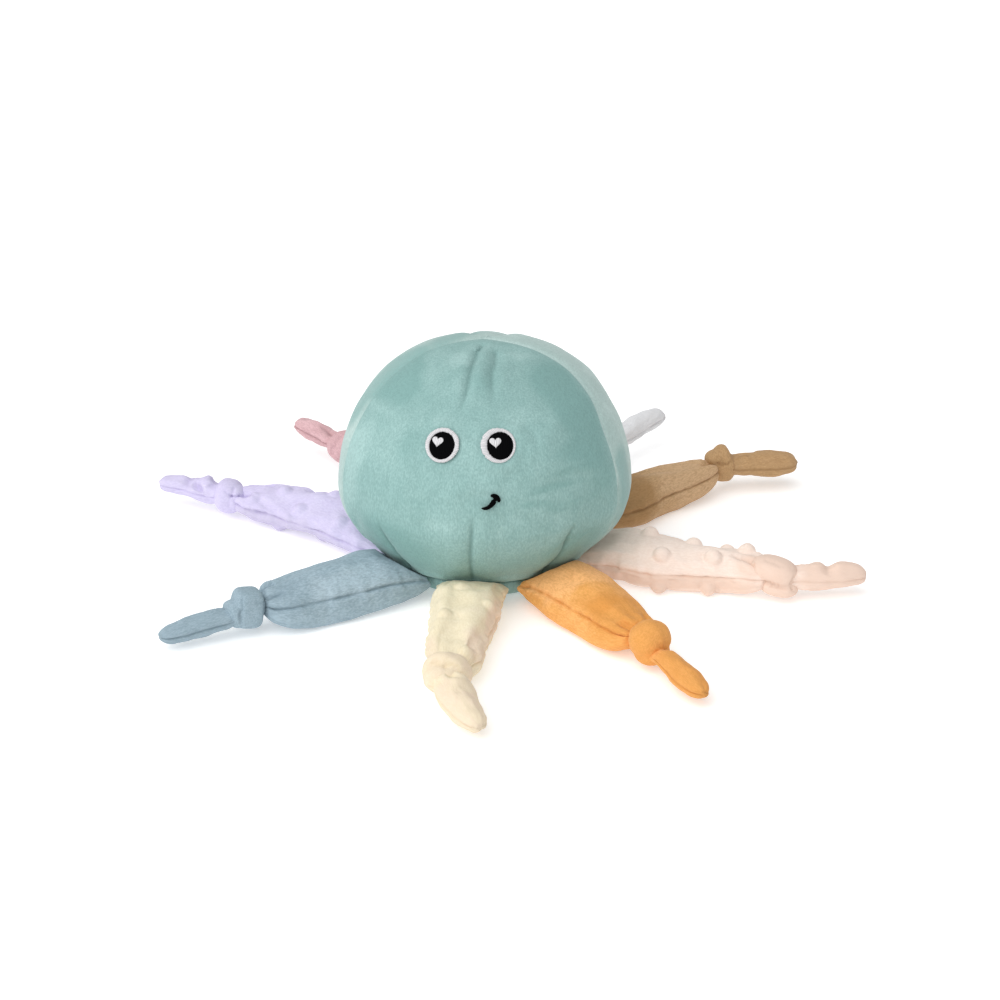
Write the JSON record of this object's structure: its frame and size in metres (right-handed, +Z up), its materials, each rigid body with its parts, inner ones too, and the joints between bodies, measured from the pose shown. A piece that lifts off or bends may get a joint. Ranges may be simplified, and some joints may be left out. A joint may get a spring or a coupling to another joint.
{
  "type": "plush octopus",
  "caption": "Round stuffed octopus that sits on a flat base, with knotted, floppy arms of different soft cloths and an embroidered face.",
  "frame": {"origin": "on the floor, under the middle of the flat base and the round head", "axes": "+Z up, the face looks towards -Y, +X is to the right seen from the front"},
  "size_m": [0.4012, 0.3773, 0.1267],
  "materials": {
    "teal_cloth": "short teal pile, soft and matte",
    "white_thread": "satin-stitch embroidery",
    "black_thread": "satin-stitch embroidery",
    "stuffing_fibre": "loose white fibre",
    "cream_cloth": "raised-dot pile, soft and matte",
    "orange_cloth": "short pile, soft and matte",
    "pink_cloth": "raised-dot pile, soft and matte",
    "tan_cloth": "short pile, soft and matte",
    "white_cloth": "raised-dot pile, soft and matte",
    "rose_cloth": "short pile, soft and matte",
    "lavender_cloth": "raised-dot pile, soft and matte",
    "blue_cloth": "short pile, soft and matte"
  },
  "bodies": {
    "root": {"head_front_panel": "teal_cloth", "head_back_panel": "teal_cloth", "base_panel": "teal_cloth", "head_stuffing": "stuffing_fibre", "left_eye_white": "white_thread", "left_eye_pupil": "black_thread", "left_eye_heart": "white_thread", "right_eye_white": "white_thread", "right_eye_pupil": "black_thread", "right_eye_heart": "white_thread", "mouth": "black_thread"},
    "cream_arm": {"cream_arm_upper_panel": "cream_cloth", "cream_arm_lower_panel": "cream_cloth", "cream_arm_stuffing": "stuffing_fibre", "cream_knot": "cream_cloth"},
    "cream_tail": {"cream_tail": "cream_cloth"},
    "orange_arm": {"orange_arm_upper_panel": "orange_cloth", "orange_arm_lower_panel": "orange_cloth", "orange_arm_stuffing": "stuffing_fibre", "orange_knot": "orange_cloth"},
    "orange_tail": {"orange_tail": "orange_cloth"},
    "pink_arm": {"pink_arm_upper_panel": "pink_cloth", "pink_arm_lower_panel": "pink_cloth", "pink_arm_stuffing": "stuffing_fibre", "pink_knot": "pink_cloth"},
    "pink_tail": {"pink_tail": "pink_cloth"},
    "tan_arm": {"tan_arm_upper_panel": "tan_cloth", "tan_arm_lower_panel": "tan_cloth", "tan_arm_stuffing": "stuffing_fibre", "tan_knot": "tan_cloth"},
    "tan_tail": {"tan_tail": "tan_cloth"},
    "white_arm": {"white_arm_upper_panel": "white_cloth", "white_arm_lower_panel": "white_cloth", "white_arm_stuffing": "stuffing_fibre", "white_knot": "white_cloth"},
    "white_tail": {"white_tail": "white_cloth"},
    "rose_arm": {"rose_arm_upper_panel": "rose_cloth", "rose_arm_lower_panel": "rose_cloth", "rose_arm_stuffing": "stuffing_fibre", "rose_knot": "rose_cloth"},
    "rose_tail": {"rose_tail": "rose_cloth"},
    "lavender_arm": {"lavender_arm_upper_panel": "lavender_cloth", "lavender_arm_lower_panel": "lavender_cloth", "lavender_arm_stuffing": "stuffing_fibre", "lavender_knot": "lavender_cloth"},
    "lavender_tail": {"lavender_tail": "lavender_cloth"},
    "blue_arm": {"blue_arm_upper_panel": "blue_cloth", "blue_arm_lower_panel": "blue_cloth", "blue_arm_stuffing": "stuffing_fibre", "blue_knot": "blue_cloth"},
    "blue_tail": {"blue_tail": "blue_cloth"}
  },
  "joints": [
    {"name": "cream_arm_flop", "type": "hinge", "parent": "root", "child": "cream_arm", "pos_m": [0, -0.0523, 0.0094], "axis": [-1, 0, 0], "range_deg": [-60, 10]},
    {"name": "cream_tail_flop", "type": "hinge", "parent": "cream_arm", "child": "cream_tail", "pos_m": [-0.00264, -0.15148, 0.0121], "axis": [-0.9135, -0.4067, 0], "range_deg": [-60, 60]},
    {"name": "orange_arm_flop", "type": "hinge", "parent": "root", "child": "orange_arm", "pos_m": [0.03698, -0.03698, 0.0094], "axis": [-0.7071, -0.7071, 0], "range_deg": [-60, 10]},
    {"name": "orange_tail_flop", "type": "hinge", "parent": "orange_arm", "child": "orange_tail", "pos_m": [0.09547, -0.11178, 0.0132], "axis": [-0.829, -0.5592, 0], "range_deg": [-60, 60]},
    {"name": "pink_arm_flop", "type": "hinge", "parent": "root", "child": "pink_arm", "pos_m": [0.0523, 0, 0.0094], "axis": [0, -1, 0], "range_deg": [-60, 10]},
    {"name": "pink_tail_flop", "type": "hinge", "parent": "pink_arm", "child": "pink_tail", "pos_m": [0.15954, -0.02813, 0.01265], "axis": [0.0349, -0.9994, 0], "range_deg": [-60, 60]},
    {"name": "tan_arm_flop", "type": "hinge", "parent": "root", "child": "tan_arm", "pos_m": [0.03698, 0.03698, 0.0094], "axis": [0.7071, -0.7071, 0], "range_deg": [-60, 10]},
    {"name": "tan_tail_flop", "type": "hinge", "parent": "tan_arm", "child": "tan_tail", "pos_m": [0.12661, 0.10813, 0.01595], "axis": [0.2079, -0.9781, 0], "range_deg": [-60, 60]},
    {"name": "white_arm_flop", "type": "hinge", "parent": "root", "child": "white_arm", "pos_m": [0, 0.0523, 0.0094], "axis": [1, 0, 0], "range_deg": [-60, 10]},
    {"name": "white_tail_flop", "type": "hinge", "parent": "white_arm", "child": "white_tail", "pos_m": [0.05673, 0.13236, 0.0132], "axis": [0.848, -0.5299, 0], "range_deg": [-60, 60]},
    {"name": "rose_arm_flop", "type": "hinge", "parent": "root", "child": "rose_arm", "pos_m": [-0.03698, 0.03698, 0.0094], "axis": [0.7071, 0.7071, 0], "range_deg": [-60, 10]},
    {"name": "rose_tail_flop", "type": "hinge", "parent": "rose_arm", "child": "rose_tail", "pos_m": [-0.09152, 0.10528, 0.0165], "axis": [0.682, 0.7314, 0], "range_deg": [-60, 60]},
    {"name": "lavender_arm_flop", "type": "hinge", "parent": "root", "child": "lavender_arm", "pos_m": [-0.0523, 0, 0.0094], "axis": [0, 1, 0], "range_deg": [-60, 10]},
    {"name": "lavender_tail_flop", "type": "hinge", "parent": "lavender_arm", "child": "lavender_tail", "pos_m": [-0.14829, 0.04336, 0.01265], "axis": [0.342, 0.9397, 0], "range_deg": [-60, 60]},
    {"name": "blue_arm_flop", "type": "hinge", "parent": "root", "child": "blue_arm", "pos_m": [-0.03698, -0.03698, 0.0094], "axis": [-0.7071, 0.7071, 0], "range_deg": [-60, 10]},
    {"name": "blue_tail_flop", "type": "hinge", "parent": "blue_arm", "child": "blue_tail", "pos_m": [-0.11228, -0.09488, 0.01375], "axis": [-0.515, 0.8572, 0], "range_deg": [-60, 60]}
  ]
}
